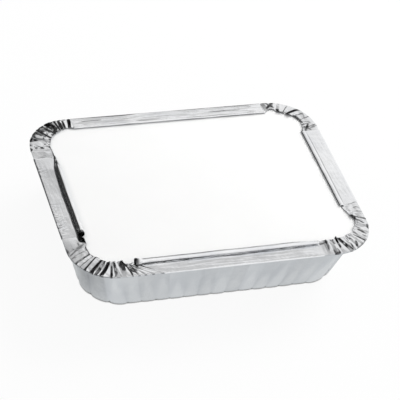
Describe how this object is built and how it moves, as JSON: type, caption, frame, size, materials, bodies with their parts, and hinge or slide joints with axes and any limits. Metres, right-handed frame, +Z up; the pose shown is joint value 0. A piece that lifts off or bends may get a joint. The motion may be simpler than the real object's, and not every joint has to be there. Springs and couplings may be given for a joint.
{
  "type": "foil tray with card lid",
  "caption": "Shallow rectangular foil tray with fluted walls, closed by a flat card lid held under a rim that is folded in, curled and gathered at the corners.",
  "frame": {"origin": "on the table, under the middle of the tray", "axes": "+X along the tray's length, +Y across its width, +Z up through the lid"},
  "size_m": [0.17, 0.13, 0.037],
  "materials": {
    "foil": "bright rolled foil, crinkled at the corners",
    "card": "smooth white board, matt"
  },
  "bodies": {
    "root": {"tray": "foil", "lid": "card"}
  },
  "joints": []
}
